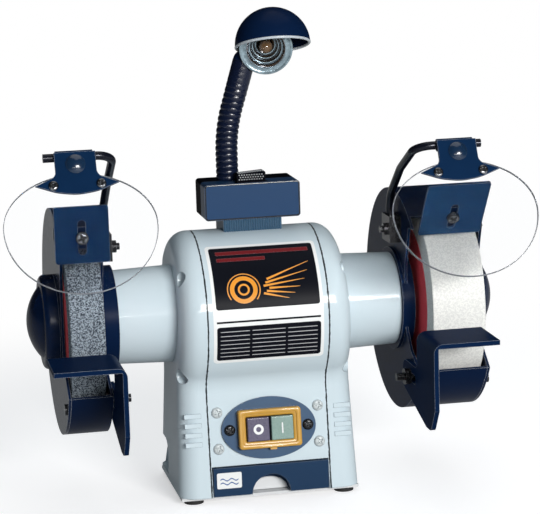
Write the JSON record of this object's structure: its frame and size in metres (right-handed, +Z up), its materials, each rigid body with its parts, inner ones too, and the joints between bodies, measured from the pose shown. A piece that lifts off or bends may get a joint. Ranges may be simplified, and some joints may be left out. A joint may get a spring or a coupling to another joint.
{
  "type": "bench grinder",
  "caption": "Bench grinder with a coarse and a fine wheel in open-fronted guards, clear oval eye shields, sliding tool rests, a water tray and a ribbed-neck work lamp.",
  "frame": {"origin": "on the bench plane under the middle of the spindle, at the centre of the four feet", "axes": "+X along the spindle towards the wide white wheel, +Y from the operator to the back, +Z up"},
  "size_m": [0.3794, 0.2234, 0.36],
  "materials": {
    "body_paint": "satin pale blue-grey enamel on castings",
    "navy_paint": "gloss dark navy enamel on pressed steel",
    "navy_plastic": "semi-matt dark blue moulding",
    "black_plastic": "fine-grained black moulding",
    "yellow_plastic": "bright yellow-orange moulding",
    "red_plastic": "purple-red moulding",
    "green_plastic": "pale green moulding",
    "clear_plastic": "clear polycarbonate",
    "steel": "turned and ground steel",
    "dark_steel": "dark oiled bar",
    "zinc_screws": "bright zinc plate",
    "black_screws": "black oxide",
    "plate_steel": "dark sheet steel",
    "rubber": "black moulded rubber",
    "copper": "varnished copper wire",
    "capacitor_can": "drawn can",
    "grey_stone": "coarse grey vitrified grit",
    "white_stone": "fine white vitrified grit",
    "red_paper": "dark crimson compressible washer",
    "mirror_metal": "bright reflector",
    "bulb_glass": "clear bulb"
  },
  "bodies": {
    "frame": {"base_plate": "plate_steel", "bearing_outer_rings": "steel", "cable_gland": "black_plastic", "clamp_bolts": "zinc_screws", "foot_screws": "zinc_screws", "guard_screws": "zinc_screws", "housing_screws": "zinc_screws", "lamp_box_front": "navy_plastic", "lamp_box_rear": "black_plastic", "lamp_pedestal": "body_paint", "left_end_cover": "body_paint", "left_guard": "navy_paint", "left_guard_cover": "navy_paint", "motor_housing": "body_paint", "neck_base": "navy_plastic", "panel_screws": "zinc_screws", "right_end_cover": "body_paint", "right_guard": "navy_paint", "right_guard_cover": "navy_paint", "rod_clamps": "navy_paint", "rubber_feet": "rubber", "run_capacitor": "capacitor_can", "stator_core": "steel", "stator_windings": "copper", "switch_block": "black_plastic", "switch_frame": "yellow_plastic", "switch_plate": "navy_plastic", "switch_plate_screws": "black_screws", "tray_shelf": "plate_steel"},
    "spindle": {"spindle": "steel", "rotor": "steel", "bearing_inner_rings": "steel", "left_wheel": "grey_stone", "right_wheel": "white_stone", "wheel_flanges": "steel", "wheel_blotters": "red_paper", "wheel_nuts": "steel"},
    "left_spark": {"left_spark_plate": "navy_paint"},
    "right_spark": {"right_spark_plate": "navy_paint"},
    "left_rod": {"left_shield_rod": "dark_steel"},
    "right_rod": {"right_shield_rod": "dark_steel"},
    "left_shield": {"left_shield_bracket": "navy_paint", "left_shield_lens": "clear_plastic", "left_shield_screws": "zinc_screws"},
    "right_shield": {"right_shield_bracket": "navy_paint", "right_shield_lens": "clear_plastic", "right_shield_screws": "zinc_screws"},
    "left_rest": {"left_tool_rest": "navy_paint"},
    "right_rest": {"right_tool_rest": "navy_paint"},
    "tray": {"water_tray": "navy_plastic"},
    "stop": {"stop_button": "red_plastic"},
    "start": {"start_button": "green_plastic"},
    "rocker": {"lamp_rocker": "black_plastic"},
    "neck_mid": {"neck_middle": "navy_plastic"},
    "lamp_head": {"neck_upper": "navy_plastic", "lamp_hood": "navy_paint", "lamp_bowl": "navy_plastic", "lamp_reflector": "mirror_metal", "lamp_bulb": "bulb_glass"}
  },
  "joints": [
    {"name": "spindle_spin", "type": "hinge", "parent": "frame", "child": "spindle", "pos_m": [0, 0, 0.1355], "axis": [1, 0, 0], "continuous": true},
    {"name": "left_spark_slide", "type": "slide", "parent": "frame", "child": "left_spark", "axis": [0, 0, 1], "range_m": [-0.008, 0.008]},
    {"name": "right_spark_slide", "type": "slide", "parent": "frame", "child": "right_spark", "axis": [0, -0.6157, 0.788], "range_m": [-0.002, 0.008]},
    {"name": "left_rod_swing", "type": "hinge", "parent": "frame", "child": "left_rod", "pos_m": [-0.1125, -0.012, 0.1815], "axis": [0, 0, 1], "range_deg": [0, 25]},
    {"name": "right_rod_swing", "type": "hinge", "parent": "frame", "child": "right_rod", "pos_m": [0.1045, -0.012, 0.1815], "axis": [0, 0, 1], "range_deg": [-25, 0]},
    {"name": "left_shield_tilt", "type": "hinge", "parent": "left_rod", "child": "left_shield", "pos_m": [-0.14, -0.09, 0.2695], "axis": [-1, 0, 0], "range_deg": [0, 70]},
    {"name": "right_shield_tilt", "type": "hinge", "parent": "right_rod", "child": "right_shield", "pos_m": [0.133, -0.09, 0.263], "axis": [-1, 0, 0], "range_deg": [0, 70]},
    {"name": "left_rest_slide", "type": "slide", "parent": "frame", "child": "left_rest", "axis": [0, 1, 0], "range_m": [-0.01, 0.002]},
    {"name": "right_rest_slide", "type": "slide", "parent": "frame", "child": "right_rest", "axis": [0, 1, 0], "range_m": [-0.01, 0.002]},
    {"name": "tray_slide", "type": "slide", "parent": "frame", "child": "tray", "axis": [0, -1, 0], "range_m": [0, 0.075]},
    {"name": "stop_press", "type": "slide", "parent": "frame", "child": "stop", "axis": [0, 0.9916, -0.1292], "range_m": [0, 0.003], "stiffness_N_per_m": 300, "springref_m": -0.002},
    {"name": "start_press", "type": "slide", "parent": "frame", "child": "start", "axis": [0, 0.9916, -0.1292], "range_m": [0, 0.003], "stiffness_N_per_m": 300, "springref_m": -0.002},
    {"name": "rocker_tip", "type": "hinge", "parent": "frame", "child": "rocker", "pos_m": [0, -0.0041, 0.23075], "axis": [0, 1, 0], "range_deg": [-8, 8]},
    {"name": "neck_tilt", "type": "hinge", "parent": "frame", "child": "neck_mid", "pos_m": [-0.0144, 0.01, 0.2568], "axis": [1, 0, 0], "range_deg": [-12, 12]},
    {"name": "neck_sway", "type": "hinge", "parent": "neck_mid", "child": "lamp_head", "pos_m": [-0.01087, 0.01, 0.2813], "axis": [0, 1, 0], "range_deg": [-12, 12]}
  ]
}
